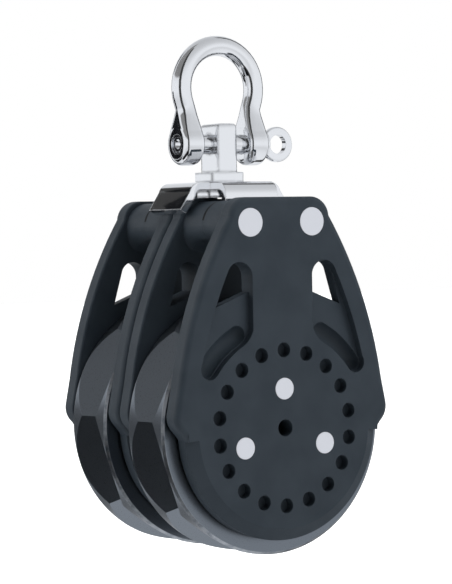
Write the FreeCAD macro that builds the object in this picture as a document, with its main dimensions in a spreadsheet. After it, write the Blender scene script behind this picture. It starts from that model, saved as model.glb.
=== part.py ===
import FreeCAD, Part
import os
import re
import Sketcher

# A double ratchet block: two sheaves side by side between four moulded cheeks, hung from
# a swivelling bow shackle. All lengths are millimetres.
#
# Frame: the origin is on the sheave axis, where the two middle cheeks meet. +X runs along
# the sheave axis towards the near cheek, +Y across the cheeks, +Z up to the shackle.

Vector = FreeCAD.Vector
Placement = FreeCAD.Placement
Rotation = FreeCAD.Rotation

SIZES = [
    ("pitch", 34, "distance between the two sheaves, and the width of each block"),
    ("half_pitch", "=pitch / 2", "mid-plane of a block from the origin"),
    ("cheek_wall", 6, "thickness of a cheek"),
    ("cheek_inside", "=half_pitch - cheek_wall", "cheek's inner face from the block's mid-plane"),
    ("side_gap", 1, "gap between a sheave and each cheek"),
    ("sheave_half", "=cheek_inside - side_gap", "half the width of a sheave"),
    ("sheave_diameter", 76, "over the flanges"),
    ("sheave_radius", "=sheave_diameter / 2", ""),
    ("groove_depth", 5.3, "flange down to the flat of a facet"),
    ("groove_slope", 29.5, "facet's slope to the axle, degrees"),
    ("facet_count", 8, "gripping facets round the groove"),
    ("facet_turn", 40.5, "first facet corner, degrees from +Y"),
    ("rim_break", 0.7, "chamfer round each flange"),
    ("ball_diameter", "=0.476 * sheave_half", "bearing balls"),
    ("ball_circle", 23, "radius of the circle of ball centres"),
    ("ball_count", 12, "balls in one row"),
    ("row_offset", "=0.65 * sheave_half", "ball row from the block's mid-plane"),
    ("race_gap", 0.03, "running clearance of a ball in its race"),
    ("race_depth", 0.33, "depth of the ball track in hub and sheave"),
    ("track_half", "=0.25 * sheave_half", "half the width of a ball track"),
    ("cage_gap", 0.3, "clearance round a ball cage"),
    ("pocket_gap", 0.1, "clearance of a ball in its cage"),
    ("hub_race", "=ball_circle - ball_diameter / 2 - race_gap", "radius of the hub's track"),
    ("hub_radius", "=hub_race + race_depth", ""),
    ("sheave_race", "=ball_circle + ball_diameter / 2 + race_gap", "radius of the sheave's track"),
    ("sheave_bore", "=sheave_race - race_depth", ""),
    ("ring_width", "=0.6 * sheave_half", "width of the ratchet ring"),
    ("ring_wall", 0.7, "ratchet ring behind its teeth"),
    ("tooth_depth", 1.3, "height of a ratchet tooth"),
    ("tooth_count", 24, "teeth round the ratchet ring"),
    ("tooth_phase", 102.5, "a tooth's steep face, degrees from +Y"),
    ("tooth_root", "=sheave_race - ring_wall", "radius at the root of the teeth"),
    ("tooth_tip", "=tooth_root - tooth_depth", "radius at the tip of the teeth"),
    ("pawl_width", "=0.9 * ring_width", ""),
    ("pawl_boss", 1.9, "radius of the eye of a pawl"),
    ("pawl_across", 5.1, "pawl's pivot from the block's centre line"),
    ("pawl_rise", 16.8, "pawl's pivot above the axle"),
    ("pawl_pin_radius", 1, ""),
    ("pin_fit", 0.03, "running clearance of a pin or stud in its bore"),
    ("pawl_room", 8.3, "half the length of the pocket round a pawl"),
    ("pawl_floor", 14.6, "floor of that pocket above the axle"),
    ("pawl_side_gap", 0.3, "pawl to the side of its pocket"),
    ("spring_wall", 0.4, "thickness of a pawl spring"),
    ("centre_bore", 5, "diameter of the hole through the whole block"),
    ("hub_rivet_radius", 2, "shank of a hub rivet"),
    ("hub_rivet_head", 3.2, "radius of its head"),
    ("hub_head_depth", 1, "thickness of its head"),
    ("hub_rivet_rise", 11.6, "top hub rivet above the axle"),
    ("hub_rivet_side", 14, "lower hub rivets from the centre line"),
    ("hub_rivet_drop", 5.2, "lower hub rivets below the axle"),
    ("head_rivet_radius", 2.4, "shank of a head rivet"),
    ("head_rivet_head", 4.2, "radius of its head"),
    ("head_head_depth", 1.2, "thickness of its head"),
    ("head_rivet_side", 10.8, "head rivets from the centre line"),
    ("seat_gap", 0.05, "clearance of a rivet or a bracket leg in its seat"),
    ("dimple_count", 18, "round blind pockets on a cheek"),
    ("dimple_circle", 23, "radius of their circle"),
    ("dimple_radius", 2.2, ""),
    ("dimple_depth", 3, ""),
    ("throat", 16, "room for the rope over a sheave"),
    ("saddle_height", 14.1, "from the throat to the top of the cheeks"),
    ("saddle_floor", "=sheave_radius + throat", "underside of the saddle"),
    ("cheek_top", "=saddle_floor + saddle_height", ""),
    ("head_rivet_lift", 6.7, "head rivets above the throat"),
    ("head_rivet_level", "=saddle_floor + head_rivet_lift", ""),
    ("top_half", 11.5, "half of the flat top of a cheek"),
    ("shoulder_half", 17.6, "half the width at the shoulder"),
    ("shoulder_level", "=cheek_top - 5.6", ""),
    ("ear_half", "=sheave_radius - 0.8", "half the width over the ears"),
    ("ear_level", 6, "widest place of the ears above the axle"),
    ("side_half", "=ear_half - 1.5", "where the side runs into the ear"),
    ("side_level", "=ear_level + 7.4", ""),
    ("side_length", "=sqrt((side_half - shoulder_half)^2 + (shoulder_level - side_level)^2)", ""),
    ("side_bulge", 2.7, "how far the long side bows out"),
    ("side_mid_y", "=(shoulder_half + side_half) / 2"
     " + side_bulge * (shoulder_level - side_level) / side_length", ""),
    ("side_mid_z", "=(shoulder_level + side_level) / 2"
     " + side_bulge * (side_half - shoulder_half) / side_length", ""),
    ("disc_drop", 4.7, "cheek's round foot inside the flange"),
    ("disc_radius", "=sheave_radius - disc_drop", ""),
    ("disc_flat", "=disc_radius - 3.5", "radius of its flat face"),
    ("disc_bevel", 2, "how far its rim is set back"),
    ("edge_round", 1.8, "rounding of a cheek's outer edge"),
    ("inner_round", 0.6, "rounding of a cheek's inner edge"),
    ("window_inner", 10.5, "window's inner wall from the centre line"),
    ("window_top", "=saddle_floor - 4.8", ""),
    ("recess_depth", 2.5, "sunk panel under a window"),
    ("trough_circle", 31.5, "radius of the curved trough's centre line"),
    ("trough_radius", 2.75, "half the width of the trough, and its depth"),
    ("trough_ledge", 0.35, "flat left beside it in the sunk panel"),
    ("trough_low", 35.6, "lower end of the trough, degrees from the horizontal"),
    ("trough_high", 62, "upper end of the trough"),
    ("panel_end", "=trough_radius + trough_ledge", "radius of the panel's lower end"),
    ("panel_inner", "=trough_circle - panel_end", "radius of the panel's lower edge"),
    ("saddle_half", 16.8, "half the length of the saddle"),
    ("saddle_blend", 3, "fillet between saddle and cheek"),
    ("plate_wall", 2.4, "thickness of the head bracket"),
    ("plate_lift", 2.6, "bracket above the cheeks"),
    ("plate_under", "=cheek_top + plate_lift", ""),
    ("plate_top", "=plate_under + plate_wall", ""),
    ("arm_half", 9.2, "half the width of a bracket arm"),
    ("bend_radius", 4, "outer radius of a bracket bend"),
    ("leg_half", 14.6, "half the width of a bracket leg at the rivets"),
    ("leg_bottom", "=head_rivet_level - 3.3", ""),
    ("leg_shoulder", "=head_rivet_level + 3.9", ""),
    ("foot_reach", 19.7, "tip of a bracket foot from the centre line"),
    ("foot_level", "=cheek_top - 3.1", "tip of a bracket foot"),
    ("foot_knee", 16.1, "where a bracket foot leaves its bend"),
    ("stud_radius", 4.5, "swivel stud in the bracket"),
    ("nut_flats", 12, "across the swivel nut"),
    ("nut_height", 2.2, ""),
    ("collar_radius", 7.4, ""),
    ("collar_flats", 14, "across the collar's flats"),
    ("collar_height", 3.1, ""),
    ("collar_top", "=plate_top + collar_height", ""),
    ("post_radius", 5.9, ""),
    ("post_flats", 6.8, "across the post's flats"),
    ("pin_rise", 8.6, "shackle pin above the collar"),
    ("pin_level", "=collar_top + pin_rise", ""),
    ("post_above_pin", 6.2, "top of the post above the pin"),
    ("pin_radius", 3, "shackle pin"),
    ("shackle_ear_radius", 6.3, ""),
    ("shackle_ear_inside", 8, "inner face of an ear from the centre line"),
    ("shackle_ear_wall", 7, ""),
    ("shackle_ear_blend", 11, "where an ear has run out into the bar, above the pin"),
    ("shackle_ear_round", 1.6, "rounding of an ear's edges"),
    ("bar_diameter", 6.1, "bar of the bow"),
    ("bow_radius", 12.9, "centre line of the bow's top"),
    ("bow_rise", 17.1, "centre of the bow above the pin"),
    ("bow_level", "=pin_level + bow_rise", ""),
    ("neck_half", 11.2, "narrowest place of the bow's centre line"),
    ("neck_rise", 7.2, "that place above the pin"),
    ("pin_recess", 0.5, "end of the pin inside the ear's face"),
    ("pin_collar_radius", 4.3, ""),
    ("pin_collar_wall", 1.25, ""),
    ("eye_radius", 5.5, "ring at the end of the pin"),
    ("eye_bore", 5.3, "hole in that ring"),
    ("eye_wall", 2.1, ""),
    ("eye_reach", 6.2, "ring's centre past the shackle's ear"),
]

doc = FreeCAD.newDocument("double_ratchet_block")
sheet = doc.addObject("Spreadsheet::Sheet", "Sizes")
for row, (alias, amount, note) in enumerate(SIZES, start=1):
    sheet.set(f"A{row}", alias)
    sheet.set(f"B{row}", str(amount))
    sheet.setAlias(f"B{row}", alias)
    sheet.set(f"C{row}", note)
doc.recompute()

ALIASES = {alias for alias, amount, note in SIZES}
AXES = {
    "X": Rotation(Vector(0, 1, 0), 90),
    "Y": Rotation(Vector(1, 0, 0), -90),
    "Z": Rotation(),
}
PLANES = {
    "YZ": Rotation(Vector(1, 1, 1), 120),
    "XZ": Rotation(Vector(1, 0, 0), 90),
    "XY": Rotation(),
}


def sized(text):
    """Point each alias in an expression at the sheet."""
    return re.sub(r"[a-z_]+", lambda word: ("Sizes." if word.group() in ALIASES else "") + word.group(), text)


def value(text):
    """The number that an expression gives now."""
    return float(sheet.evalExpression(sized(text)))


def place(thing, x="0", y="0", z="0"):
    for axis, text in (("x", x), ("y", y), ("z", z)):
        thing.setExpression(f"Placement.Base.{axis}", sized(text))
    return thing


def cylinder(name, radius, length, axis="Z", x="0", y="0", z="0"):
    rod = doc.addObject("Part::Cylinder", name)
    rod.Placement = Placement(Vector(), AXES[axis])
    rod.setExpression("Radius", sized(radius))
    rod.setExpression("Height", sized(length))
    return place(rod, x, y, z)


def box(name, x, y, z):
    """A box between two expressions along each axis."""
    block = doc.addObject("Part::Box", name)
    for side, (low, high) in (("Length", x), ("Width", y), ("Height", z)):
        block.setExpression(side, sized(f"({high}) - ({low})"))
    return place(block, x[0], y[0], z[0])


def cut(name, base, *tools):
    result = base
    for count, tool in enumerate(tools, start=1):
        step = doc.addObject("Part::Cut", name if count == len(tools) else f"{name}_{count}")
        step.Base = result
        step.Tool = tool
        result = step
    return result


def fuse(name, *shapes):
    joined = doc.addObject("Part::MultiFuse", name)
    joined.Shapes = list(shapes)
    joined.Refine = True
    return joined


def common(name, *shapes):
    shared = doc.addObject("Part::MultiCommon", name)
    shared.Shapes = list(shapes)
    return shared


def group(name, *shapes):
    together = doc.addObject("Part::Compound", name)
    together.Links = list(shapes)
    return together


def outline(name, plane, points, offset="0"):
    """A closed sketch. A point is (across, up); an arc to a point is (across, up, via, via)."""
    sketch = doc.addObject("Sketcher::SketchObject", name)
    sketch.Placement = Placement(Vector(), PLANES[plane])
    normal = {"YZ": "x", "XZ": "y", "XY": "z"}[plane]
    sketch.setExpression(f"Placement.Base.{normal}", sized(offset))
    corners = [Vector(value(point[0]), value(point[1]), 0) for point in points]

    def pin_down(edge, spot, across, up):
        for kind, text in (("DistanceX", across), ("DistanceY", up)):
            number = sketch.addConstraint(Sketcher.Constraint(kind, -1, 1, edge, spot, value(text)))
            sketch.setExpression(f"Constraints[{number}]", sized(text))

    for index, point in enumerate(points):
        start = corners[index - 1]
        end = corners[index]
        before = points[index - 1]
        if len(point) == 2:
            edge = sketch.addGeometry(Part.LineSegment(start, end))
            ends = (1, 2)
        else:
            via = Vector(value(point[2]), value(point[3]), 0)
            arc = Part.Arc(start, via, end)
            edge = sketch.addGeometry(arc)
            runs_back = sketch.getPoint(edge, 1).distanceToPoint(start) > 1e-6
            ends = (2, 1) if runs_back else (1, 2)
            guide = sketch.addGeometry(Part.Point(via), True)
            pin_down(guide, 1, point[2], point[3])
            sketch.addConstraint(Sketcher.Constraint("PointOnObject", guide, 1, edge))
        pin_down(edge, ends[0], before[0], before[1])
        pin_down(edge, ends[1], point[0], point[1])
    return sketch


def mirrored(points, foot=()):
    """The outline whose right half, from the top down, is given. Its foot may be an arc."""
    left = []
    for index in range(len(points) - 1, -1, -1):
        across, up = points[index][:2]
        arc = points[index + 1][2:] if index + 1 < len(points) else foot
        left.append((f"-({across})", up) + ((f"-({arc[0]})", arc[1]) if arc else ()))
    return list(points) + left


def extrude(name, sketch, length):
    solid = doc.addObject("Part::Extrusion", name)
    solid.Base = sketch
    solid.DirMode = "Normal"
    solid.Solid = True
    solid.setExpression("LengthFwd", sized(length))
    return solid


def revolve(name, sketch, angle="360"):
    """Turn a sketch of (X, radius) about the X axis."""
    solid = doc.addObject("Part::Revolution", name)
    solid.Source = sketch
    solid.Axis = Vector(1, 0, 0)
    solid.Base = Vector()
    solid.Solid = True
    solid.setExpression("Angle", sized(angle))
    return solid


def fillet(name, base, radius, chosen):
    """Round the edges that the test picks."""
    doc.recompute()
    edges = [index for index, edge in enumerate(base.Shape.Edges, start=1) if chosen(edge)]
    rounded = doc.addObject("Part::Fillet", name)
    rounded.Base = base
    rounded.Edges = [(index, value(radius), value(radius)) for index in edges]
    return rounded


def turned(name, thing, angle):
    """A second copy of a thing, turned about the X axis."""
    copy = doc.addObject("Part::Compound", name)
    copy.Links = [thing]
    copy.Placement = Placement(Vector(), Rotation(Vector(1, 0, 0), angle))
    return copy


def on_circle(radius, angle):
    return f"{radius} * cos({angle})", f"{radius} * sin({angle})"


HUB_RIVETS = [
    ("0", "hub_rivet_rise"),
    ("hub_rivet_side", "-hub_rivet_drop"),
    ("-hub_rivet_side", "-hub_rivet_drop"),
]
HEAD_RIVETS = [
    ("head_rivet_side", "head_rivet_level"),
    ("-head_rivet_side", "head_rivet_level"),
]
NOTCH_ANGLE = "-4"
CHEEK = [
    ("top_half", "cheek_top"),
    ("shoulder_half", "shoulder_level", "top_half + 4.4", "cheek_top - 1.9"),
    ("side_half", "side_level", "side_mid_y", "side_mid_z"),
    ("ear_half", "ear_level"),
    ("ear_half - 2", "ear_level - 5.8", "ear_half - 0.3", "ear_level - 3.4"),
    on_circle("disc_radius", NOTCH_ANGLE),
]


SADDLE_FLARE = [
    ("0", "0"),
    ("0.45 * cheek_inside", "0.1 * saddle_blend"),
    ("cheek_inside - saddle_blend", "0.35 * saddle_blend"),
    ("cheek_inside + 0.3", "1.2 * saddle_blend"),
]
EAR_FLARE = [
    ("0.12 * shackle_ear_blend", "0.93 * shackle_ear_radius", "shackle_ear_wall / 2 - 0.5",
     "shackle_ear_inside + shackle_ear_wall / 2"),
    ("0.5 * shackle_ear_blend", "0.66 * shackle_ear_radius", "bar_diameter / 2 + 0.2", "neck_half + 0.1"),
    ("shackle_ear_blend", "bar_diameter / 2 - 0.12", "bar_diameter / 2 - 0.12", "neck_half + 0.15"),
]


def window(name, side, depth, low):
    """The cut of a cheek's window: all of it, or only what lies above the ledge."""
    ledge = [
        (f"{side} * (window_inner + 11.4)", "window_top - 13.2"),
        (f"{side} * window_inner", "window_top - 8.8"),
    ]
    foot = [
        (f"{side} * (trough_circle + panel_end) * cos(trough_low)",
         "(trough_circle + panel_end) * sin(trough_low)",
         f"{side} * (window_inner + 13.4)", "window_top - 14.8"),
        (f"{side} * panel_inner * cos(trough_low)", "panel_inner * sin(trough_low)",
         f"{side} * (trough_circle * cos(trough_low) + panel_end * sin(trough_low))",
         "trough_circle * sin(trough_low) - panel_end * cos(trough_low)"),
        (f"{side} * panel_inner * cos(60)", "panel_inner * sin(60)",
         f"{side} * panel_inner * cos(48)", "panel_inner * sin(48)"),
        (f"{side} * window_inner", "panel_inner * sin(60) + 4.8",
         f"{side} * (window_inner + 1.1)", "panel_inner * sin(60) + 2.4"),
    ]
    points = [
        (f"{side} * window_inner", "window_top - 4"),
        (f"{side} * (window_inner + 4.5)", "window_top",
         f"{side} * (window_inner + 1.4)", "window_top - 1.2"),
        (f"{side} * (window_inner + 8.2)", "window_top - 2.4",
         f"{side} * (window_inner + 6.6)", "window_top - 0.6"),
    ]
    sketch = outline(f"{name}_outline", "YZ", points + (foot if low else ledge), f"half_pitch - ({depth})")
    return extrude(name, sketch, f"{depth} + 1")


def curved_trough(name, side):
    """A trough of half-round section with round ends, sunk in the panel under a window."""
    floor = "half_pitch - recess_depth"
    section = outline(f"{name}_section", "XY", [
        (f"{floor} + 1", "trough_circle + trough_radius"),
        (floor, "trough_circle + trough_radius"),
        (floor, "trough_circle - trough_radius", f"{floor} - trough_radius", "trough_circle"),
        (f"{floor} + 1", "trough_circle - trough_radius"),
    ])
    half_section = outline(f"{name}_half_section", "XY", [
        (f"{floor} + 1", "trough_radius"),
        (floor, "trough_radius"),
        (f"{floor} - trough_radius", "0", f"{floor} - trough_radius * cos(45)", "trough_radius * sin(45)"),
        (f"{floor} + 1", "0"),
    ])
    ends = ("trough_low", "trough_high") if side > 0 else ("(180 - trough_high)", "(180 - trough_low)")
    bend = revolve(f"{name}_bend", section, "trough_high - trough_low")
    bend.Placement = Placement(Vector(), Rotation(Vector(1, 0, 0), value(ends[0])))
    pieces = [bend]
    for label, angle, turn in (("start", ends[0], 180), ("finish", ends[1], 0)):
        end = revolve(f"{name}_{label}", half_section, "180")
        end.Placement = Placement(Vector(), Rotation(Vector(1, 0, 0), value(angle) + turn))
        pieces.append(place(end, "0", *on_circle("trough_circle", angle)))
    return fuse(name, *pieces)


def leg_outline(name, gap, top, offset):
    """A bracket leg, or with a gap the slot that it sits in."""
    half = f"arm_half + {gap}"
    wide = f"leg_half + {gap}"
    floor = f"leg_bottom - {gap}"
    right = [
        (half, top),
        (half, f"leg_shoulder + 2.2 + {gap}"),
        (wide, f"leg_shoulder + {gap}"),
        (wide, "head_rivet_level + 0.2"),
        (f"{wide} - 3.7", floor, f"{wide} - 1", f"{floor} + 1"),
    ]
    return outline(name, "YZ", mirrored(right), offset)


def shell(name, side, outer):
    """Half of one block: a cheek with half of the saddle, moulded in one."""
    doc_name = f"{name}_"
    contour = outline(doc_name + "cheek_outline", "YZ", mirrored(CHEEK, ("0", "-disc_radius")),
                      "cheek_inside")
    plate = extrude(doc_name + "cheek", contour, "cheek_wall")
    notch = value(CHEEK[-1][1])

    def round_edge(edge, at):
        middle = edge.CenterOfMass
        above = edge.BoundBox.ZMax > notch + 1e-3
        return edge.BoundBox.XLength < 1e-6 and abs(middle.x - at) < 1e-6 and above

    rounded = fillet(doc_name + "edge", plate, "edge_round",
                     lambda edge: round_edge(edge, value("half_pitch")))
    rounded = fillet(doc_name + "inner_edge", rounded, "inner_round",
                     lambda edge: round_edge(edge, value("cheek_inside")))
    sections = []
    for count, (reach, drop) in enumerate(SADDLE_FLARE):
        right = [
            ("top_half - 1", "cheek_top - 0.8"),
            ("saddle_half", f"saddle_floor + 6.1 - {drop} / 2", "saddle_half - 1.9", "cheek_top - 3.2"),
            ("saddle_half - 3", f"saddle_floor + 2 - {drop}",
             "saddle_half - 0.8", f"saddle_floor + 3.6 - 0.8 * {drop}"),
        ]
        foot = ("0", f"saddle_floor - {drop}")
        sections.append(outline(f"{doc_name}saddle_{count}", "YZ", mirrored(right, foot), reach))
    saddle = doc.addObject("Part::Loft", doc_name + "saddle")
    saddle.Sections = sections
    saddle.Solid = True
    body = fuse(doc_name + "moulding", rounded, saddle)
    bevel = [
        ("half_pitch", "disc_flat"),
        ("half_pitch - 1.2 * disc_bevel", "disc_flat + 1.2 * (disc_radius - disc_flat)"),
        ("half_pitch + 1", "disc_flat + 1.2 * (disc_radius - disc_flat)"),
        ("half_pitch + 1", "disc_flat"),
    ]
    ring = revolve(doc_name + "bevel", outline(doc_name + "bevel_outline", "XY", bevel),
                   f"180 + 2 * ({NOTCH_ANGLE})")
    ring.Placement = Placement(Vector(), Rotation(Vector(1, 0, 0), 180 - float(NOTCH_ANGLE)))
    tools = [ring]
    for across, way in (("right", 1), ("left", -1)):
        tools.append(window(f"{doc_name}window_{across}", way, "cheek_wall + 1", False))
        if outer:
            tools.append(window(f"{doc_name}recess_{across}", way, "recess_depth", True))
            tools.append(curved_trough(f"{doc_name}trough_{across}", way))
    tools.append(cylinder(doc_name + "centre", "centre_bore / 2", "cheek_wall + 2", "X", "cheek_inside - 1"))
    rivets = [(spot, "hub") for spot in HUB_RIVETS] + [(spot, "head") for spot in HEAD_RIVETS]
    for count, ((across, up), kind) in enumerate(rivets):
        tools.append(cylinder(f"{doc_name}rivet_{count}", f"{kind}_rivet_radius + seat_gap",
                              "half_pitch + 2", "X", "-1", across, up))
        if outer:
            tools.append(cylinder(f"{doc_name}head_{count}", f"{kind}_rivet_head + seat_gap", "5", "X",
                                  f"half_pitch - {kind}_head_depth - seat_gap", across, up))
    if outer:
        for count in range(int(value("dimple_count"))):
            across, up = on_circle("dimple_circle", f"90 + {count} * 360 / dimple_count")
            tools.append(cylinder(f"{doc_name}dimple_{count}", "dimple_radius", "dimple_depth + 1", "X",
                                  "half_pitch - dimple_depth", across, up))
    slot = extrude(doc_name + "leg_slot", leg_outline(doc_name + "leg_slot_outline", "seat_gap",
                                                      "cheek_top + 1", "-1"),
                   "plate_wall / 2 + seat_gap + 1")
    tools.append(slot)
    made = cut(doc_name + "body", body, group(doc_name + "cuts", *tools))
    finished = group(name, made)
    facing = 1 if outer == (side > 0) else -1
    turn = Rotation() if facing > 0 else Rotation(Vector(0, 0, 1), 180)
    finished.Placement = Placement(Vector(), turn)
    return place(finished, f"{side} * half_pitch")


def sheave(name, side):
    """A wheel whose V groove is two eight-sided pyramids base to base."""
    blank = outline(name + "_section", "XY", [
        ("-sheave_half", "sheave_bore"),
        ("-row_offset - track_half", "sheave_bore"),
        ("-row_offset - track_half", "sheave_race"),
        ("row_offset + track_half", "sheave_race"),
        ("row_offset + track_half", "sheave_bore"),
        ("sheave_half", "sheave_bore"),
        ("sheave_half", "sheave_radius - rim_break"),
        ("sheave_half - rim_break", "sheave_radius"),
        ("rim_break - sheave_half", "sheave_radius"),
        ("-sheave_half", "sheave_radius - rim_break"),
    ])
    wheel = revolve(name + "_wheel", blank)
    halves = []
    for way, label in ((1, "near"), (-1, "far")):
        faces = []
        for end, reach in (("bottom", "0"), ("rim", "sheave_half + 1")):
            octagon = doc.addObject("Part::RegularPolygon", f"{name}_{label}_{end}")
            octagon.setExpression("Polygon", sized("facet_count"))
            flat = f"(sheave_radius - groove_depth + ({reach}) * tan(groove_slope))"
            octagon.setExpression("Circumradius", sized(f"{flat} / cos(180 / facet_count)"))
            octagon.Placement = Placement(
                Vector(), Rotation(Vector(1, 0, 0), value("facet_turn")) * PLANES["YZ"])
            place(octagon, f"{way} * ({reach})")
            faces.append(octagon)
        pyramid = doc.addObject("Part::Loft", f"{name}_{label}_facets")
        pyramid.Sections = faces
        pyramid.Solid = True
        pyramid.Ruled = True
        halves.append(pyramid)
    facets = fuse(name + "_facets", *halves)
    facets.Refine = False
    return place(group(name, common(name + "_body", wheel, facets)), f"{side} * half_pitch")


def hub(name, side):
    """The fixed core that carries the balls and the pawls."""
    section = outline(name + "_section", "XY", [
        ("-cheek_inside", "centre_bore / 2"),
        ("-cheek_inside", "hub_radius"),
        ("-row_offset - track_half", "hub_radius"),
        ("-row_offset - track_half", "hub_race"),
        ("track_half - row_offset", "hub_race"),
        ("track_half - row_offset", "hub_radius"),
        ("row_offset - track_half", "hub_radius"),
        ("row_offset - track_half", "hub_race"),
        ("row_offset + track_half", "hub_race"),
        ("row_offset + track_half", "hub_radius"),
        ("cheek_inside", "hub_radius"),
        ("cheek_inside", "centre_bore / 2"),
    ])
    core = revolve(name + "_core", section)
    tools = []
    for count, (across, up) in enumerate(HUB_RIVETS):
        tools.append(cylinder(f"{name}_rivet_{count}", "hub_rivet_radius + seat_gap", "2 * cheek_inside + 2",
                              "X", "-cheek_inside - 1", across, up))
    half = "(pawl_width / 2 + pawl_side_gap)"
    pocket = box(name + "_pocket", (f"-{half}", half), ("-pawl_room", "pawl_room"),
                 ("pawl_floor", "hub_radius + 2"))
    pin_hole = cylinder(name + "_pin_hole", "pawl_pin_radius + pin_fit", "2 * cheek_inside + 2", "X",
                        "-cheek_inside - 1", "pawl_across", "pawl_rise")
    upper = group(name + "_upper_cuts", pocket, pin_hole)
    tools += [upper, turned(name + "_lower_cuts", upper, 180)]
    body = cut(name + "_body", core, group(name + "_cuts", *tools))
    return place(group(name, body), f"{side} * half_pitch")


def ratchet_ring(name, side):
    """A steel ring pressed into the sheave, with saw teeth inside."""
    band = cut(name + "_band",
               cylinder(name + "_outside", "sheave_race - 0.01", "ring_width", "X", "-ring_width / 2"),
               cylinder(name + "_inside", "tooth_tip", "ring_width + 2", "X", "-ring_width / 2 - 1"))
    gaps = []
    for count in range(int(value("tooth_count"))):
        steep = f"(tooth_phase + {count} * 360 / tooth_count)"
        points = [
            on_circle("(tooth_tip - 0.3)", steep),
            on_circle("tooth_root", steep),
            on_circle("tooth_root", f"({steep} - 60 / tooth_count)"),
            on_circle("(tooth_tip - 0.3)", f"({steep} - 324 / tooth_count)"),
        ]
        tooth_gap = outline(f"{name}_gap_{count}", "YZ", points, "-ring_width / 2 - 1")
        gaps.append(extrude(f"{name}_cut_{count}", tooth_gap, "ring_width + 2"))
    return place(group(name, cut(name + "_body", band, group(name + "_gaps", *gaps))), f"{side} * half_pitch")


def ball_row(name, side, way):
    balls = []
    for count in range(int(value("ball_count"))):
        ball = doc.addObject("Part::Sphere", f"{name}_ball_{count}")
        ball.setExpression("Radius", sized("ball_diameter / 2"))
        across, up = on_circle("ball_circle", f"(90 + {count} * 360 / ball_count)")
        balls.append(place(ball, f"{way} * row_offset", across, up))
    return place(group(name, *balls), f"{side} * half_pitch")


def ball_cage(name, side, way):
    """A comb ring: its pockets are open on the outer side."""
    width = "ball_diameter + 1.4"
    inner = "hub_radius + cage_gap"
    ring = cut(name + "_ring",
               cylinder(name + "_outside", "sheave_bore - cage_gap", width, "X",
                        f"row_offset - ({width}) / 2"),
               cylinder(name + "_inside", inner, f"{width} + 2", "X", f"row_offset - ({width}) / 2 - 1"))
    pockets = []
    for count in range(int(value("ball_count"))):
        half = "ball_diameter / 2 + pocket_gap"
        points = [
            ("row_offset", f"-({half})"),
            (f"row_offset + {width}", f"-({half})"),
            (f"row_offset + {width}", half),
            ("row_offset", half),
            ("row_offset", f"-({half})", f"row_offset - ({half})", "0"),
        ]
        mouth = extrude(f"{name}_pocket_{count}", outline(f"{name}_pocket_{count}_outline", "XY", points[1:],
                                                          inner + " - 2"), "ball_diameter + 2")
        turn = 360 / value("ball_count") * count
        pockets.append(turned(f"{name}_pocket_turned_{count}", mouth, turn))
    comb = cut(name + "_comb", ring, group(name + "_pockets", *pockets))
    flipped = group(name, comb)
    flipped.Placement = Placement(Vector(), Rotation() if way > 0 else Rotation(Vector(0, 0, 1), 180))
    return place(flipped, f"{side} * half_pitch")


PAWL_TIP = [
    ("-5.32", "tooth_tip - 1.23"),
    ("-5.67", "tooth_tip - 2.97"),
]


def pawl(name, side, angle):
    """A pawl that hinges outwards into the ratchet ring."""
    points = [
        PAWL_TIP[0],
        ("pawl_across - 1.4", "pawl_rise + pawl_boss + 0.6", "-1.6", "tooth_tip - 2.1"),
        ("pawl_across + pawl_boss", "pawl_rise", "pawl_across + 1.35", "pawl_rise + pawl_boss - 0.55"),
        ("pawl_across - 0.7", "pawl_rise - pawl_boss + 0.12",
         "pawl_across + 1.2", "pawl_rise - pawl_boss + 0.42"),
        PAWL_TIP[1] + ("-0.6", "pawl_rise + 0.7"),
    ]
    arm = extrude(name + "_arm", outline(name + "_outline", "YZ", points, "-pawl_width / 2"), "pawl_width")
    bore = cylinder(name + "_bore", "pawl_pin_radius + pin_fit", "pawl_width + 2", "X",
                    "-pawl_width / 2 - 1", "pawl_across", "pawl_rise")
    return place(turned(name, cut(name + "_eye", arm, bore), angle), f"{side} * half_pitch")


def pawl_pins(name, side):
    upper = cylinder(name + "_upper", "pawl_pin_radius", "2 * cheek_inside", "X", "-cheek_inside",
                     "pawl_across", "pawl_rise")
    return place(group(name, upper, turned(name + "_lower", upper, 180)), f"{side} * half_pitch")


def pawl_springs(name, side):
    """Bent leaf springs on the floor of the pawl pockets, just clear of the pawls."""
    points = [
        ("pawl_across - 3", "pawl_floor"),
        ("pawl_across - 3", "pawl_floor + spring_wall"),
        ("-6.2", "pawl_floor + spring_wall"),
        ("-2.6", "pawl_floor + spring_wall + 2.1", "-5.4", "pawl_floor + spring_wall + 1.55"),
        ("-2.6", "pawl_floor + 2 * spring_wall + 2.1"),
        ("-7.2", "pawl_floor + spring_wall", "-6", "pawl_floor + spring_wall + 1.8"),
        ("-7.2", "pawl_floor"),
    ]
    leaf = extrude(name + "_leaf", outline(name + "_outline", "YZ", points, "-pawl_width / 2 + 0.5"),
                   "pawl_width - 1")
    return place(group(name, leaf, turned(name + "_lower", leaf, 180)), f"{side} * half_pitch")


def rivets(name, kind, spots):
    """Long rivets through both blocks, with a flush head at each end."""
    solids = []
    for count, (across, up) in enumerate(spots):
        shank = cylinder(f"{name}_shank_{count}", f"{kind}_rivet_radius",
                         f"2 * pitch - 2 * {kind}_head_depth", "X", f"{kind}_head_depth - pitch", across, up)
        heads = [
            cylinder(f"{name}_near_head_{count}", f"{kind}_rivet_head", f"{kind}_head_depth", "X",
                     f"pitch - {kind}_head_depth", across, up),
            cylinder(f"{name}_far_head_{count}", f"{kind}_rivet_head", f"{kind}_head_depth", "X",
                     "-pitch", across, up),
        ]
        solids.append(fuse(f"{name}_{count}", shank, *heads))
    return group(name, *solids)


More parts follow.
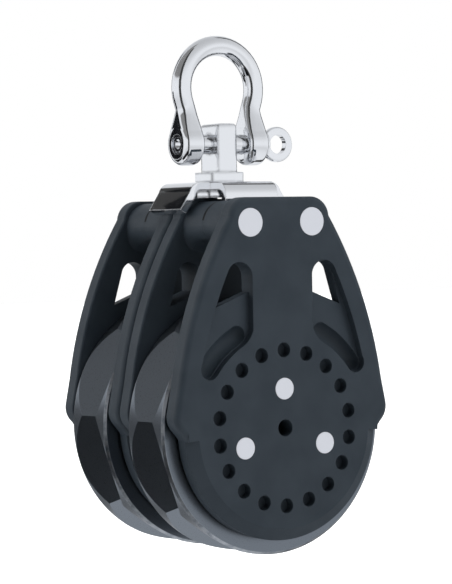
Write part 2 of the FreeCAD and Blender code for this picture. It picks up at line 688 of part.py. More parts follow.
def head_bracket(name):
    """A cross of pressed plate: two legs go into the blocks, two feet clasp the middle cheeks."""
    leg_out = "half_pitch + plate_wall / 2"
    leg_in = "half_pitch - plate_wall / 2"
    leg_start = "leg_shoulder + 2.2"
    knee = "plate_top - bend_radius"
    small = "(bend_radius - plate_wall)"
    arm = [
        (f"{leg_out} - bend_radius", "plate_top"),
        (leg_out, knee, f"{leg_out} - 0.2929 * bend_radius", "plate_top - 0.2929 * bend_radius"),
        (leg_out, leg_start),
        (leg_in, leg_start),
        (leg_in, knee),
        (f"{leg_out} - bend_radius", "plate_under", f"{leg_in} - 0.2929 * {small}",
         f"plate_under - 0.2929 * {small}"),
    ]
    channel = extrude(name + "_channel", outline(name + "_channel_outline", "XZ", mirrored(arm), "arm_half"),
                      "2 * arm_half")
    drop = "(plate_top - 2.7 - foot_level)"
    run = "(foot_reach - foot_knee)"
    slant = f"sqrt({run}^2 + {drop}^2)"
    clasp = [
        ("foot_knee - 3.6", "plate_top"),
        ("foot_knee", "plate_top - 2.7", "foot_knee - 1.2", "plate_top - 0.9"),
        ("foot_reach", "foot_level"),
        (f"foot_reach - plate_wall * {drop} / {slant}", f"foot_level - plate_wall * {run} / {slant}"),
        (f"foot_knee - plate_wall * {drop} / {slant}", f"plate_top - 2.7 - plate_wall * {run} / {slant}"),
        ("foot_knee - 3.6", "plate_under", "foot_knee - 2.6", "plate_under - 0.45"),
    ]
    feet = extrude(name + "_feet", outline(name + "_feet_outline", "YZ", mirrored(clasp), "-arm_half"),
                   "2 * arm_half")
    legs = []
    for label, middle in (("near", "half_pitch"), ("far", "-half_pitch")):
        lobe = leg_outline(f"{name}_{label}_leg_outline", "0", f"{leg_start} + 0.5",
                           f"{middle} - plate_wall / 2")
        legs.append(extrude(f"{name}_{label}_leg", lobe, "plate_wall"))
    holes = [cylinder(name + "_stud_hole", "stud_radius + pin_fit", "2 * plate_wall", "Z",
                      z="plate_under - plate_wall / 2")]
    for count, (across, up) in enumerate(HEAD_RIVETS):
        holes.append(cylinder(f"{name}_rivet_hole_{count}", "head_rivet_radius + seat_gap", "2 * pitch", "X",
                              "-pitch", across, up))
    return cut(name, fuse(name + "_plate", channel, feet, *legs), group(name + "_holes", *holes))


def hexagon(name, flats, low, height):
    """A six-sided prism with two flats square to Y."""
    sides = doc.addObject("Part::Prism", name)
    sides.Polygon = 6
    sides.setExpression("Circumradius", sized(f"{flats} / 2 / cos(30)"))
    sides.setExpression("Height", sized(height))
    return place(sides, z=low)


def swivel_post(name):
    """Stud, collar and flatted post turned in one, with the cross bore of the shackle pin."""
    stud = cylinder(name + "_stud", "stud_radius", "plate_wall + nut_height + 1", "Z",
                    z="plate_under - nut_height")
    collar = common(name + "_collar", cylinder(name + "_collar_round", "collar_radius", "collar_height", "Z",
                                               z="plate_top"),
                    hexagon(name + "_collar_flats", "collar_flats", "plate_top", "collar_height"))
    top = "pin_rise + post_above_pin"
    round_post = cylinder(name + "_round", "post_radius", top, "Z", z="collar_top")
    slab = box(name + "_slab", ("-post_radius - 1", "post_radius + 1"), ("-post_flats / 2", "post_flats / 2"),
               ("collar_top", f"collar_top + {top}"))
    post = fillet(name + "_crown", common(name + "_flatted", round_post, slab), "1.2",
                  lambda edge: edge.BoundBox.ZMin > value(f"collar_top + {top}") - 1e-6)
    bore = cylinder(name + "_bore", "pin_radius + pin_fit", "post_flats + 2", "Y",
                    y="-post_flats / 2 - 1", z="pin_level")
    return cut(name, fuse(name + "_turned", stud, collar, post), bore)


def swivel_nut(name):
    bore = cylinder(name + "_bore", "stud_radius", "nut_height + 2", "Z",
                    z="plate_under - nut_height - 1")
    return cut(name, hexagon(name + "_flats", "nut_flats", "plate_under - nut_height", "nut_height"), bore)


def shackle_ear(name, way):
    """An eye that flares out of the bar: a loft through ellipses runs down into it."""
    start = "shackle_ear_inside" if way > 0 else "-shackle_ear_inside - shackle_ear_wall"
    disc = cylinder(f"{name}_disc", "shackle_ear_radius", "shackle_ear_wall", "Y", y=start, z="pin_level")
    eye = fillet(f"{name}_eye", disc, "shackle_ear_round", lambda edge: edge.BoundBox.YLength < 1e-6)
    rings = []
    for count, (rise, wide, thick, across) in enumerate(EAR_FLARE):
        ring = doc.addObject("Part::Ellipse", f"{name}_ring_{count}")
        ring.setExpression("MajorRadius", sized(wide))
        ring.setExpression("MinorRadius", sized(thick))
        rings.append(place(ring, y=f"{way} * ({across})", z=f"pin_level + {rise}"))
    flare = doc.addObject("Part::Loft", f"{name}_flare")
    flare.Sections = rings
    flare.Solid = True
    return fuse(name, eye, flare)


def shackle_bow(name):
    """A forged bow: a round bar swept from ear to ear."""
    path = doc.addObject("Part::Feature", name + "_path")
    pin = value("pin_level")
    neck = value("neck_half")
    neck_level = pin + value("neck_rise")
    top = value("bow_level")
    radius = value("bow_radius")
    low = pin + value("shackle_ear_radius") / 2
    flare = value("(neck_half + bow_radius) / 2 + 0.25")
    flare_level = (neck_level + top) / 2 + 0.6
    edges = []
    for way in (1, -1):
        side = [
            Part.LineSegment(Vector(0, way * neck, low), Vector(0, way * neck, neck_level)).toShape(),
            Part.Arc(Vector(0, way * neck, neck_level), Vector(0, way * flare, flare_level),
                     Vector(0, way * radius, top)).toShape(),
        ]
        edges += side if way > 0 else side[::-1]
        if way > 0:
            edges.append(Part.Arc(Vector(0, radius, top), Vector(0, 0, top + radius),
                                  Vector(0, -radius, top)).toShape())
    spine = Part.Wire(edges)
    path.Shape = spine
    section = doc.addObject("Part::Circle", name + "_section")
    section.setExpression("Radius", sized("bar_diameter / 2"))
    place(section, y="neck_half", z="pin_level + shackle_ear_radius / 2")
    bar = doc.addObject("Part::Sweep", name + "_bar")
    bar.Sections = [section]
    bar.Spine = (path, [f"Edge{count}" for count in range(1, len(edges) + 1)])
    bar.Solid = True
    bar.Transition = "Round corner"
    ears = [shackle_ear(f"{name}_right_ear", 1), shackle_ear(f"{name}_left_ear", -1)]
    bore = cylinder(name + "_bore", "pin_radius + pin_fit", "2 * (shackle_ear_inside + shackle_ear_wall) + 2",
                    "Y", y="-shackle_ear_inside - shackle_ear_wall - 1", z="pin_level")
    return cut(name, fuse(name + "_forging", bar, *ears), bore)


def shackle_pin(name):
    """A pin with a collar and a flat ring to turn it by."""
    ear_face = "shackle_ear_inside + shackle_ear_wall"
    shank = cylinder(name + "_shank", "pin_radius", f"2 * ({ear_face}) + 1 - pin_recess", "Y",
                     y=f"pin_recess - ({ear_face})", z="pin_level")
    collar = cylinder(name + "_collar", "pin_collar_radius", "pin_collar_wall", "Y",
                      y=f"{ear_face} + seat_gap", z="pin_level")
    ring = cylinder(name + "_ring", "eye_radius", "eye_wall", "X", "-eye_wall / 2",
                    f"{ear_face} + eye_reach", "pin_level")
    ring = fillet(name + "_ring_round", ring, "0.6", lambda edge: edge.BoundBox.XLength < 1e-6)
    hole = cylinder(name + "_hole", "eye_bore / 2", "eye_wall + 2", "X", "-eye_wall / 2 - 1",
                    f"{ear_face} + eye_reach", "pin_level")
    return cut(name, fuse(name + "_turned", shank, collar, ring), hole)


NODES = []
for side, block in ((1, "near"), (-1, "far")):
    NODES.append(shell(f"{block}_outer_shell", side, True))
    NODES.append(shell(f"{block}_inner_shell", side, False))
    NODES.append(sheave(f"{block}_sheave", side))
    NODES.append(ratchet_ring(f"{block}_ratchet_ring", side))
    NODES.append(hub(f"{block}_hub", side))
    for way, row in ((1, "right"), (-1, "left")):
        NODES.append(ball_row(f"{block}_{row}_balls", side, way))
        NODES.append(ball_cage(f"{block}_{row}_cage", side, way))
    for angle, level in ((0, "upper"), (180, "lower")):
        NODES.append(pawl(f"{block}_{level}_pawl", side, angle))
    NODES.append(pawl_pins(f"{block}_pawl_pins", side))
    NODES.append(pawl_springs(f"{block}_pawl_springs", side))
NODES.append(rivets("hub_rivets", "hub", HUB_RIVETS))
NODES.append(rivets("head_rivets", "head", HEAD_RIVETS))
NODES.append(head_bracket("head_bracket"))
NODES.append(swivel_post("swivel_post"))
NODES.append(swivel_nut("swivel_nut"))
NODES.append(shackle_bow("shackle_bow"))
NODES.append(shackle_pin("shackle_pin"))
doc.recompute()

for thing in doc.Objects:
    if "Invalid" in thing.State or "Error" in thing.State:
        raise RuntimeError(f"{thing.Label} failed: {thing.State}")
for node in NODES:
    if node.Shape.isNull() or not node.Shape.isValid() or not node.Shape.Solids:
        raise RuntimeError(f"{node.Label} has no sound solid")

os.makedirs("parts", exist_ok=True)
for node in NODES:
    node.Shape.exportStep(f"parts/{node.Label}.step")
    print(f"{node.Label}: {len(node.Shape.Solids)} solids, {node.Shape.Volume / 1000:.2f} cm3")
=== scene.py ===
import math

import bmesh
import bpy
from mathutils import Matrix, Vector


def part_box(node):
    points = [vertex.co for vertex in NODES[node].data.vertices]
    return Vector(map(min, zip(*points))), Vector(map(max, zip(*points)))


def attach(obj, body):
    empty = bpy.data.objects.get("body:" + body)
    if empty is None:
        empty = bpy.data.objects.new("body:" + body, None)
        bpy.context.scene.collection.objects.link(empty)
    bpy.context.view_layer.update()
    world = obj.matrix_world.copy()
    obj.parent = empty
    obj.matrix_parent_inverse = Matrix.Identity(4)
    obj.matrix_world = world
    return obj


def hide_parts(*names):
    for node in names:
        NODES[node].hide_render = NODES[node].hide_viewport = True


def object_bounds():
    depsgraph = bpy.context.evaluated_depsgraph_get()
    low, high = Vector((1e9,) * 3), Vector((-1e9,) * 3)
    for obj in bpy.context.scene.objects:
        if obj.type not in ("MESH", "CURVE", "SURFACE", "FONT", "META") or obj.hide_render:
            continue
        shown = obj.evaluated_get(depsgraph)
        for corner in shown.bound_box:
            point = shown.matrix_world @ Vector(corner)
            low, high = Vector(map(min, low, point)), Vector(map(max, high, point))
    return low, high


# A double ratchet block on a white studio sweep: matte nylon cheeks, dark anodised sheaves,
# polished steel head fittings. Everything is in metres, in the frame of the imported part.

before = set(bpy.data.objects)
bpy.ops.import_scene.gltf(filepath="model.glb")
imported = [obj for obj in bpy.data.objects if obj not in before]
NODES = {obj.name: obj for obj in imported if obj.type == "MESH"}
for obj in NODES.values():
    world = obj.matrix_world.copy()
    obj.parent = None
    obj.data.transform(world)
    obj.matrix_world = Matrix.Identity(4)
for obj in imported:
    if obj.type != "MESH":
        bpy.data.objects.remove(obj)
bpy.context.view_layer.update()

MILLIMETRE = 0.001
WHITE = (1.0, 1.0, 1.0, 1.0)

# The camera stands where the photograph was taken from, almost level with the sheaves.
FRAME_HEIGHT = 584
FOCAL_PIXELS = 2500
SENSOR = 36.0
CAMERA_PLACE = (0.64793, -0.40442, 0.05751)
CAMERA_RIGHT = (0.531277, 0.846968, -0.019729)
CAMERA_UP = (-0.009274, 0.029100, 0.999534)
CAMERA_BACK = (0.847147, -0.530846, 0.023314)

FLOOR_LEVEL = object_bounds()[0][2] - 14 * MILLIMETRE
FLOOR_HALF = 3.0

SHEAVE_LOW, SHEAVE_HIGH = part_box("near_sheave")
SHEAVE_RADIUS = SHEAVE_HIGH.z
SHEAVE_HALF = (SHEAVE_HIGH.x - SHEAVE_LOW.x) / 2
SHEAVE_MIDDLE = (SHEAVE_HIGH.x + SHEAVE_LOW.x) / 2

# Painted shade: a near black line on top of each saddle, where two cheeks' halves meet.
SEAM_SHADE_HALF = 0.5 * MILLIMETRE
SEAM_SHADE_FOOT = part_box("near_outer_shell")[1].z - 6.5 * MILLIMETRE


def node(tree, kind, feeds=None, **settings):
    """Add a shader node. A feed is a plain value or another node's output."""
    made = tree.nodes.new(f"ShaderNode{kind}")
    for name, setting in settings.items():
        setattr(made, name, setting)
    for name, feed in (feeds or {}).items():
        if isinstance(feed, bpy.types.NodeSocket):
            tree.links.new(feed, made.inputs[name])
        else:
            made.inputs[name].default_value = feed
    return made


def math_node(tree, operation, *values):
    """The result of a sum on one or two values."""
    return node(tree, "Math", dict(enumerate(values)), operation=operation).outputs[0]


def off_sheave_middle(tree, parts):
    """How far a place is from the middle plane of its own block's sheave."""
    beside = math_node(tree, "ABSOLUTE", parts.outputs["X"])
    return math_node(tree, "ABSOLUTE", math_node(tree, "SUBTRACT", beside, SHEAVE_MIDDLE))


def ramp(tree, factor, stops):
    """A grey ramp through (place, brightness) stops."""
    made = node(tree, "ValToRGB", {"Fac": factor})
    elements = made.color_ramp.elements
    while len(elements) < len(stops):
        elements.new(1.0)
    for element, (place, brightness) in zip(elements, stops):
        element.position = place
        element.color = (brightness, brightness, brightness, 1.0)
    return made.outputs["Color"]


def blend_colors(tree, factor, first, second):
    """A mix of two colours."""
    made = node(tree, "Mix", data_type="RGBA")
    for index, feed in ((0, factor), (6, first), (7, second)):
        if isinstance(feed, bpy.types.NodeSocket):
            tree.links.new(feed, made.inputs[index])
        else:
            made.inputs[index].default_value = feed
    return made.outputs[2]


def new_material(name, color, roughness, metallic=0.0):
    """A material, its tree, its shader and the place on the piece."""
    made = bpy.data.materials.new(name)
    made.use_nodes = True
    tree = made.node_tree
    shader = tree.nodes["Principled BSDF"]
    shader.inputs["Base Color"].default_value = (*color, 1.0)
    shader.inputs["Roughness"].default_value = roughness
    shader.inputs["Metallic"].default_value = metallic
    place = node(tree, "TexCoord").outputs["Object"]
    return made, tree, shader, place


def grain(tree, shader, place, size, height, rounding):
    """A fine grain of a size and height in millimetres, with rounded edges."""
    spots = node(tree, "TexNoise", {
        "Vector": place, "Scale": 1000 / size, "Detail": 3.0, "Roughness": 0.6})
    rounded = node(tree, "Bevel", {"Radius": rounding * MILLIMETRE}, samples=4)
    bump = node(tree, "Bump", {
        "Height": spots.outputs["Fac"],
        "Distance": height * MILLIMETRE,
        "Strength": 1.0,
        "Normal": rounded.outputs["Normal"],
    })
    tree.links.new(bump.outputs["Normal"], shader.inputs["Normal"])
    return spots.outputs["Fac"]


def vary_roughness(tree, shader, factor, low, high):
    """Roughness that follows a pattern."""
    spread = node(tree, "MapRange", {
        "Value": factor, "From Min": 0.3, "From Max": 0.7, "To Min": low, "To Max": high})
    tree.links.new(spread.outputs["Result"], shader.inputs["Roughness"])


def mottle(tree, shader, place, size, first, second):
    """Slow drift between two like colours."""
    clouds = node(tree, "TexNoise", {"Vector": place, "Scale": 1000 / size, "Detail": 2.0})
    spread = node(tree, "MapRange", {
        "Value": clouds.outputs["Fac"], "From Min": 0.35, "From Max": 0.65})
    mixed = blend_colors(tree, spread.outputs["Result"], (*first, 1.0), (*second, 1.0))
    tree.links.new(mixed, shader.inputs["Base Color"])
    return mixed


def moulded_nylon():
    """Matte glass filled nylon with a fine spark-eroded grain, and painted shade along the
    saddles' seams.
    """
    made, tree, shader, place = new_material("moulded_nylon", (0.026, 0.035, 0.045), 0.55)
    shader.inputs["Specular IOR Level"].default_value = 0.18
    spots = grain(tree, shader, place, 0.35, 0.02, 0.3)
    vary_roughness(tree, shader, spots, 0.48, 0.62)
    mixed = mottle(tree, shader, place, 9, (0.025, 0.034, 0.044), (0.031, 0.041, 0.052))
    parts = node(tree, "SeparateXYZ", {"Vector": place})
    # Painted shade: near black where the two halves meet, standing in for the shade inside their
    # slit.
    beside = math_node(tree, "LESS_THAN", off_sheave_middle(tree, parts), SEAM_SHADE_HALF)
    above = math_node(tree, "GREATER_THAN", parts.outputs["Z"], SEAM_SHADE_FOOT)
    seam_shade = math_node(tree, "MULTIPLY", beside, above)
    seam_shaded = blend_colors(tree, seam_shade, mixed, (0.002, 0.002, 0.003, 1.0))
    tree.links.new(seam_shaded, shader.inputs["Base Color"])
    return made


def dark_anodised():
    """Hard anodised aluminium, with a paler metal colour along the chamfers of its flanges."""
    rim_tone = (0.5, 0.52, 0.55, 1.0)
    anodised = (0.178, 0.2, 0.228)
    made, tree, shader, place = new_material("dark_anodised", anodised, 0.3, 1.0)
    spots = grain(tree, shader, place, 0.2, 0.004, 0.12)
    vary_roughness(tree, shader, spots, 0.26, 0.36)
    parts = node(tree, "SeparateXYZ", {"Vector": place})
    across = math_node(tree, "POWER", parts.outputs["Y"], 2.0)
    up = math_node(tree, "POWER", parts.outputs["Z"], 2.0)
    radius = math_node(tree, "SQRT", math_node(tree, "ADD", across, up))
    # A paler metal colour on the flanges' chamfers, in noisy patches: a bright line along each
    # rim.
    beyond = math_node(
        tree, "ADD", math_node(tree, "SUBTRACT", radius, SHEAVE_RADIUS),
        math_node(tree, "SUBTRACT", off_sheave_middle(tree, parts), SHEAVE_HALF))
    chamfer = node(tree, "MapRange", {
        "Value": beyond, "From Min": -0.85 * MILLIMETRE, "From Max": -0.6 * MILLIMETRE})
    rim_noise = node(tree, "TexNoise", {"Vector": place, "Scale": 400.0, "Detail": 3.0})
    rim_patches = node(tree, "MapRange", {
        "Value": rim_noise.outputs["Fac"], "From Min": 0.3, "From Max": 0.6})
    rim_mask = math_node(tree, "MULTIPLY", chamfer.outputs["Result"], rim_patches.outputs["Result"])
    mixed = blend_colors(tree, rim_mask, (*anodised, 1.0), rim_tone)
    tree.links.new(mixed, shader.inputs["Base Color"])
    return made


def polished_steel(name, rounding):
    """Electropolished stainless steel, with faint buffing waves and edges broken by a radius."""
    made, tree, shader, place = new_material(name, (0.82, 0.83, 0.85), 0.06, 1.0)
    waves = grain(tree, shader, place, 2.5, 0.006, rounding)
    vary_roughness(tree, shader, waves, 0.04, 0.1)
    return made


def satin_steel():
    """Rivet heads, turned flat: rings too fine to see one by one."""
    made, tree, shader, place = new_material("satin_steel", (0.76, 0.77, 0.81), 0.38, 1.0)
    spots = grain(tree, shader, place, 0.15, 0.003, 0.25)
    vary_roughness(tree, shader, spots, 0.34, 0.46)
    return made


def ground_steel():
    """Hardened steel of the ratchet, ground on its faces."""
    made, tree, shader, place = new_material("ground_steel", (0.5, 0.5, 0.51), 0.3, 1.0)
    spots = grain(tree, shader, place, 0.12, 0.003, 0.1)
    vary_roughness(tree, shader, spots, 0.25, 0.38)
    return made


def bearing_resin():
    """Dark machined resin of hubs and cages."""
    made, tree, shader, place = new_material("bearing_resin", (0.02, 0.021, 0.023), 0.4)
    spots = grain(tree, shader, place, 0.25, 0.006, 0.15)
    vary_roughness(tree, shader, spots, 0.34, 0.46)
    return made


def ball_resin():
    """Ivory bearing balls, tumbled smooth."""
    made, tree, shader, place = new_material("ball_resin", (0.76, 0.74, 0.68), 0.2)
    mottle(tree, shader, place, 3, (0.78, 0.76, 0.7), (0.72, 0.7, 0.63))
    spots = grain(tree, shader, place, 0.3, 0.002, 0.0)
    vary_roughness(tree, shader, spots, 0.16, 0.24)
    return made


def dress(finishes):
    """Give each node the finish of the first name that it contains."""
    for name, thing in NODES.items():
        finish = next(finish for part, finish in finishes if part in name)
        thing.data.materials.clear()
        thing.data.materials.append(finish)


# The shackle's sizes in millimetres. Rises are measured from the pin's centre line.
PIN_LEVEL = 84.8
EAR_INSIDE = 8.0
EAR_OUTSIDE = 15.0
EAR_RADIUS = 6.45
EAR_ROUND = 2.0
BAR_RADIUS = 3.05
NECK_HALF = 11.2
NECK_RISE = 7.2
BOW_RADIUS = 12.9
BOW_RISE = 17.1
PIN_RADIUS = 3.0
PIN_BORE = 3.03
PIN_END = -14.5
PIN_FLUSH = 15.05
COLLAR_RADIUS = 4.3
COLLAR_OUTSIDE = 16.3
COLLAR_CHAMFER = 0.3
THREAD_LENGTH = 6.2
THREAD_ROOT = 2.55
THREAD_CREST = 2.96
THREAD_PITCH = 1.0
THREAD_TURNS = 5
THREAD_STEPS = 48
RING_MIDDLE = 20.95
RING_BORE = 2.95
RING_RADIUS = 5.45
RING_HALF = 1.05

# Sections of an ear as it runs out into the bar: rise over the pin, half the width, half the
# thickness, corner radius and the middle's distance from the centre line.
EAR_SECTIONS = [
    (1.9, 6.06, 3.45, 2.0, 11.5),
    (3.96, 5.29, 3.45, 2.2, 11.5),
    (6.27, 4.45, 3.4, 2.6, 11.47),
    (8.58, 3.65, 3.2, 2.85, 11.5),
]


def millimetres(x, y, z):
    return Vector((x, y, z)) * MILLIMETRE


def finished(name, mesh, finish, body, slot, *stands_for):
    """Make an object of a bmesh, smooth apart from its sharp edges, and let it ride."""
    bmesh.ops.remove_doubles(mesh, verts=mesh.verts, dist=1e-7)
    bmesh.ops.recalc_face_normals(mesh, faces=mesh.faces)
    data = bpy.data.meshes.new(name)
    mesh.to_mesh(data)
    mesh.free()
    data.shade_smooth()
    data.set_sharp_from_angle(angle=math.radians(35))
    data.materials.append(finish)
    piece = bpy.data.objects.new(name, data)
    bpy.context.scene.collection.objects.link(piece)
    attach(piece, body)
    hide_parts(*stands_for)


def spun(mesh, profile, centre, axis, out, steps=72):
    """Turn a closed profile of (along, radius) points about an axis."""
    verts = [mesh.verts.new(centre + (axis * along + out * radius) * MILLIMETRE)
             for along, radius in profile]
    edges = [mesh.edges.new((verts[index - 1], verts[index])) for index in range(len(verts))]
    bmesh.ops.spin(mesh, geom=verts + edges, cent=centre, axis=axis, angle=2 * math.pi,
                   steps=steps, use_merge=True)


def rounded_profile(low, high, inner, outer, corner, steps=6):
    """A rectangle of (along, radius) whose two outer corners are rounded."""
    points = [(high, inner), (low, inner)]
    for side, start in ((low + corner, 180), (high - corner, 90)):
        for step in range(steps + 1):
            turn = math.radians(start - 90 * step / steps)
            points.append((side + corner * math.cos(turn),
                           outer - corner + corner * math.sin(turn)))
    return points


def bow_stations():
    """Sections from one ear over the bow to the other: half sizes, corner, centre and heading."""
    stations = []
    for rise, wide, thick, corner, across in EAR_SECTIONS:
        stations.append((wide, thick, corner, across, rise, 0.0))
    step = (BOW_RADIUS - NECK_HALF) / 2
    climb = (BOW_RISE - NECK_RISE) / 2
    bend = (step ** 2 + climb ** 2) / (2 * step)
    full = math.asin(climb / bend)
    for part in (0.76, 1.0, 1.25, 1.5, 1.75):
        lean = full * (part if part <= 1 else 2 - part)
        away = bend * (1 - math.cos(lean))
        across = NECK_HALF + away if part <= 1 else BOW_RADIUS - away
        rise = NECK_RISE + bend * math.sin(lean) if part <= 1 else BOW_RISE - bend * math.sin(lean)
        stations.append((BAR_RADIUS, BAR_RADIUS, BAR_RADIUS, across, rise, lean))
    for count in range(13):
        turn = math.radians(90 * count / 12)
        stations.append((BAR_RADIUS, BAR_RADIUS, BAR_RADIUS, BOW_RADIUS * math.cos(turn),
                         BOW_RISE + BOW_RADIUS * math.sin(turn), -turn))
    left = [(wide, thick, corner, -across, rise, math.pi - heading)
            for wide, thick, corner, across, rise, heading in stations[-2::-1]]
    return stations + left


def shackle_bow(finish):
    """The forged bow: two eyes whose ears flare out of a round bar."""
    mesh = bmesh.new()
    rings = []
    for wide, thick, corner, across, rise, heading in bow_stations():
        ring = []
        for quarter, (x, y) in enumerate(((1, 1), (-1, 1), (-1, -1), (1, -1))):
            for step in range(10):
                turn = math.radians(90 * quarter + 10 * step)
                beside = x * (wide - corner) + corner * math.cos(turn)
                aside = y * (thick - corner) + corner * math.sin(turn)
                ring.append(mesh.verts.new(millimetres(
                    beside, across + aside * math.cos(heading),
                    PIN_LEVEL + rise - aside * math.sin(heading))))
        rings.append(ring)
    for first, second in zip(rings, rings[1:]):
        for index in range(len(first)):
            mesh.faces.new((first[index - 1], first[index], second[index], second[index - 1]))
    mesh.faces.new(rings[0])
    mesh.faces.new(rings[-1])
    axis = Vector((0.0, 1.0, 0.0))
    centre = millimetres(0, 0, PIN_LEVEL)
    eye = rounded_profile(EAR_INSIDE, EAR_OUTSIDE, PIN_BORE, EAR_RADIUS, EAR_ROUND)
    spun(mesh, eye, centre, axis, Vector((0.0, 0.0, -1.0)))
    spun(mesh, [(-along, radius) for along, radius in eye], centre, axis, Vector((0.0, 0.0, -1.0)))
    finished("bow", mesh, finish, "shackle", "polished_steel", "shackle_bow")


def shackle_pin(finish):
    """The pin: a cut thread and a dimple on one end, a collar and a flat ring on the other."""
    mesh = bmesh.new()
    axis = Vector((0.0, 1.0, 0.0))
    down = Vector((0.0, 0.0, -1.0))
    centre = millimetres(0, 0, PIN_LEVEL)
    thread_end = PIN_END + THREAD_LENGTH
    collar_flat = COLLAR_RADIUS - COLLAR_CHAMFER
    dimple = [(PIN_END + 1.5, 0.0), (PIN_END, 1.5), (PIN_END, 2.3), (PIN_END + 0.3, THREAD_ROOT)]
    shank = [(thread_end, THREAD_ROOT), (thread_end + 0.45, PIN_RADIUS), (PIN_FLUSH, PIN_RADIUS)]
    collar = [(PIN_FLUSH, collar_flat), (PIN_FLUSH + COLLAR_CHAMFER, COLLAR_RADIUS),
              (COLLAR_OUTSIDE - COLLAR_CHAMFER, COLLAR_RADIUS), (COLLAR_OUTSIDE, collar_flat)]
    neck = [(COLLAR_OUTSIDE, 2.6), (17.5, 1.9), (17.5, 0.0)]
    spun(mesh, dimple + shank + collar + neck, centre, axis, down)
    tooth = ((0.35, THREAD_ROOT - 0.05), (0.75, THREAD_CREST), (1.15, THREAD_ROOT - 0.05))
    foot = centre + millimetres(0, PIN_END, 0)
    ridge = [mesh.verts.new(foot + (axis * along + down * radius) * MILLIMETRE)
             for along, radius in tooth]
    edges = [mesh.edges.new((ridge[index - 1], ridge[index])) for index in range(3)]
    bmesh.ops.spin(mesh, geom=ridge + edges, cent=centre, axis=axis,
                   angle=THREAD_TURNS * 2 * math.pi, steps=THREAD_TURNS * THREAD_STEPS,
                   dvec=millimetres(0, THREAD_PITCH / THREAD_STEPS, 0), use_merge=False)
    ring = rounded_profile(-RING_HALF, RING_HALF, RING_BORE, RING_RADIUS, 0.6)
    spun(mesh, ring, millimetres(0, RING_MIDDLE, PIN_LEVEL), Vector((1.0, 0.0, 0.0)), down)
    finished("ring_pin", mesh, finish, "pin", "polished_steel", "shackle_pin")


# Panels of the studio: azimuth from +X towards +Y, half width, lowest and highest elevation, all
# in degrees, and brightness. A later panel covers an earlier one.
MIRRORED_PANELS = [
    (-100, 40, 20, 90, 0.25),
    (-166, 10, 17, 40, 0.05),
    (-48, 13, -75, 75, 0.05),
    (113, 11, -60, 60, 0.05),
    (180, 7, -60, 15, 0.06),
]
LIT_PANELS = [
    (-50, 48, -90, 60, 0.05),
    (-135, 38, -60, 60, 3.9),
    (50, 50, -30, 75, 1.15),
]

# Brightness of the mirrored walls from straight down, 0, to straight up, 1.
SWEEP = [(0.0, 1.0), (0.2, 0.92), (0.35, 0.78), (0.48, 0.98), (0.6, 0.95), (0.8, 0.72), (1.0, 0.6)]


def panelled(tree, direction, base, panels):
    """The brightness of a wall with panels, in a direction."""
    parts = node(tree, "SeparateXYZ", {"Vector": direction})
    elevation = math_node(tree, "ARCSINE", parts.outputs["Z"])
    wall = base
    for azimuth, half, low, high, brightness in panels:
        turn = math.radians(azimuth)
        ahead = node(tree, "VectorMath", {0: direction, 1: (math.cos(turn), math.sin(turn), 0.0)},
                     operation="DOT_PRODUCT").outputs["Value"]
        aside = node(tree, "VectorMath", {0: direction, 1: (-math.sin(turn), math.cos(turn), 0.0)},
                     operation="DOT_PRODUCT").outputs["Value"]
        swing = math_node(tree, "ABSOLUTE", math_node(tree, "ARCTAN2", aside, ahead))
        tilt = math_node(tree, "ABSOLUTE",
                         math_node(tree, "SUBTRACT", elevation, math.radians(low + high) / 2))
        inside = [
            node(tree, "MapRange", {
                "Value": away,
                "From Min": math.radians(reach + soft),
                "From Max": math.radians(reach - soft),
            }).outputs["Result"]
            for away, reach, soft in ((swing, half, 1.5), (tilt, (high - low) / 2, 2))
        ]
        cover = math_node(tree, "MULTIPLY", *inside)
        wall = blend_colors(tree, cover, wall, (brightness, brightness, brightness, 1.0))
    return wall


def studio_world():
    """White to the camera, and panelled walls for diffuse light and for reflections."""
    world = bpy.data.worlds.new("studio")
    bpy.context.scene.world = world
    world.use_nodes = True
    tree = world.node_tree
    tree.nodes.clear()
    rays = node(tree, "LightPath")
    direction = node(tree, "TexCoord").outputs["Generated"]
    lit_walls = panelled(tree, direction, (0.7, 0.72, 0.75, 1.0), LIT_PANELS)
    parts = node(tree, "SeparateXYZ", {"Vector": direction})
    height = node(tree, "MapRange", {
        "Value": parts.outputs["Z"], "From Min": -1.0, "From Max": 1.0})
    sweep = ramp(tree, height.outputs["Result"], SWEEP)
    tinted = node(tree, "Mix", data_type="RGBA", blend_type="MULTIPLY")
    tinted.inputs[0].default_value = 1.0
    tinted.inputs[7].default_value = (0.95, 0.97, 1.0, 1.0)
    tree.links.new(sweep, tinted.inputs[6])
    mirrored_walls = panelled(tree, direction, tinted.outputs[2], MIRRORED_PANELS)
    soft = node(tree, "Background", {"Color": lit_walls, "Strength": 0.8})
    mirrored = node(tree, "Background", {"Color": mirrored_walls, "Strength": 1.0})
    seen = node(tree, "Background", {"Color": WHITE, "Strength": 1.0})
    lit = node(tree, "MixShader", {"Fac": rays.outputs["Is Glossy Ray"]})
    tree.links.new(soft.outputs[0], lit.inputs[1])
    tree.links.new(mirrored.outputs[0], lit.inputs[2])
    final = node(tree, "MixShader", {"Fac": rays.outputs["Is Camera Ray"]})
    tree.links.new(lit.outputs[0], final.inputs[1])
    tree.links.new(seen.outputs[0], final.inputs[2])
    output = node(tree, "OutputWorld")
    tree.links.new(final.outputs[0], output.inputs["Surface"])


def studio_floor():
    """A white floor that keeps a faint shadow."""
    bpy.ops.mesh.primitive_plane_add(size=2 * FLOOR_HALF, location=(0, 0, FLOOR_LEVEL))
    floor = bpy.context.object
    floor.name = "studio_floor"
    made, tree, shader, _ = new_material("floor_white", (0.86, 0.86, 0.86), 0.9)
    shader.inputs["Specular IOR Level"].default_value = 0.0
    rays = node(tree, "LightPath")
    shader.inputs["Emission Color"].default_value = WHITE
    glow = math_node(tree, "MULTIPLY", rays.outputs["Is Camera Ray"], 0.55)
    tree.links.new(glow, shader.inputs["Emission Strength"])
    floor.data.materials.append(made)
    floor.visible_glossy = False


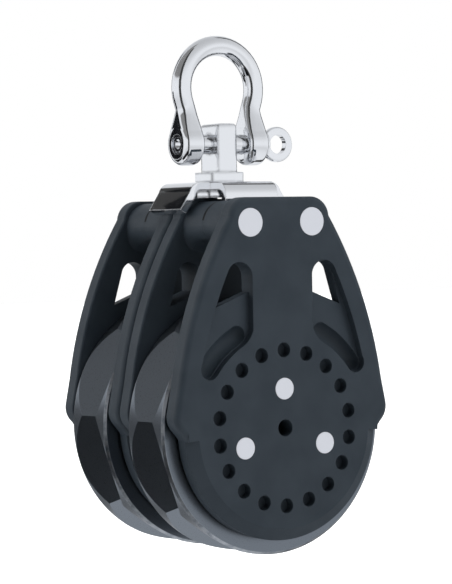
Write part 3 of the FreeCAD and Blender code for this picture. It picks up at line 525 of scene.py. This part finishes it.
def black_card(name, place, size, azimuth):
    """A black card that faces an azimuth, seen only in what mirrors it."""
    bpy.ops.mesh.primitive_plane_add(size=1.0, location=place)
    card = bpy.context.object
    card.name = name
    card.scale = (*size, 1.0)
    card.rotation_euler = (math.radians(90), 0.0, math.radians(azimuth + 90))
    made, _, shader, _ = new_material(f"{name}_black", (0.012, 0.013, 0.015), 1.0)
    shader.inputs["Specular IOR Level"].default_value = 0.0
    card.data.materials.append(made)
    card.visible_camera = False
    card.visible_diffuse = False


def lamp(name, place, size, power, aim=(0.0, 0.0, 0.02)):
    """A soft square lamp that looks at the block."""
    light = bpy.data.lights.new(name, "AREA")
    light.shape = "RECTANGLE"
    light.size, light.size_y = size
    light.energy = power
    thing = bpy.data.objects.new(name, light)
    thing.location = place
    thing.rotation_euler = (Vector(aim) - Vector(place)).to_track_quat("-Z", "Y").to_euler()
    thing.visible_glossy = False
    bpy.context.scene.collection.objects.link(thing)


def studio_lamps():
    lamp("key_lamp", (0.65, 0.35, 0.55), (0.5, 0.5), 2.6)
    lamp("top_lamp", (0.0, -0.1, 0.8), (0.6, 0.6), 1.4)


def photo_camera():
    """The photograph's own viewpoint."""
    data = bpy.data.cameras.new("photo_camera")
    data.sensor_width = SENSOR
    data.lens = FOCAL_PIXELS * SENSOR / FRAME_HEIGHT
    data.clip_start = 0.01
    thing = bpy.data.objects.new("photo_camera", data)
    turn = Matrix((CAMERA_RIGHT, CAMERA_UP, CAMERA_BACK)).transposed().to_4x4()
    thing.matrix_world = Matrix.Translation(CAMERA_PLACE) @ turn
    bpy.context.scene.collection.objects.link(thing)
    bpy.context.scene.camera = thing


nylon = moulded_nylon()
steel = ground_steel()
forged = polished_steel("forged_steel", 0.25)
satin = satin_steel()
resin = bearing_resin()
dress([
    ("shell", nylon),
    ("sheave", dark_anodised()),
    ("ratchet_ring", steel),
    ("pawl", steel),
    ("balls", ball_resin()),
    ("cage", resin),
    ("rivets", satin),
    ("hub", resin),
    ("head_bracket", polished_steel("pressed_steel", 0.5)),
    ("swivel", polished_steel("turned_steel", 1.3)),
    ("shackle", forged),
])
shackle_bow(forged)
shackle_pin(forged)
studio_world()
studio_floor()
black_card("sheave_card", (0.03, -0.25, -0.14), (0.4, 0.2), 90)
black_card("rim_card", (-0.26, -0.20, -0.02), (0.16, 0.12), 32)
black_card("ear_card", (-0.0214, -0.0279, 0.0894), (0.010, 0.022), 32)
studio_lamps()
photo_camera()
bpy.context.scene.view_settings.view_transform = "Standard"
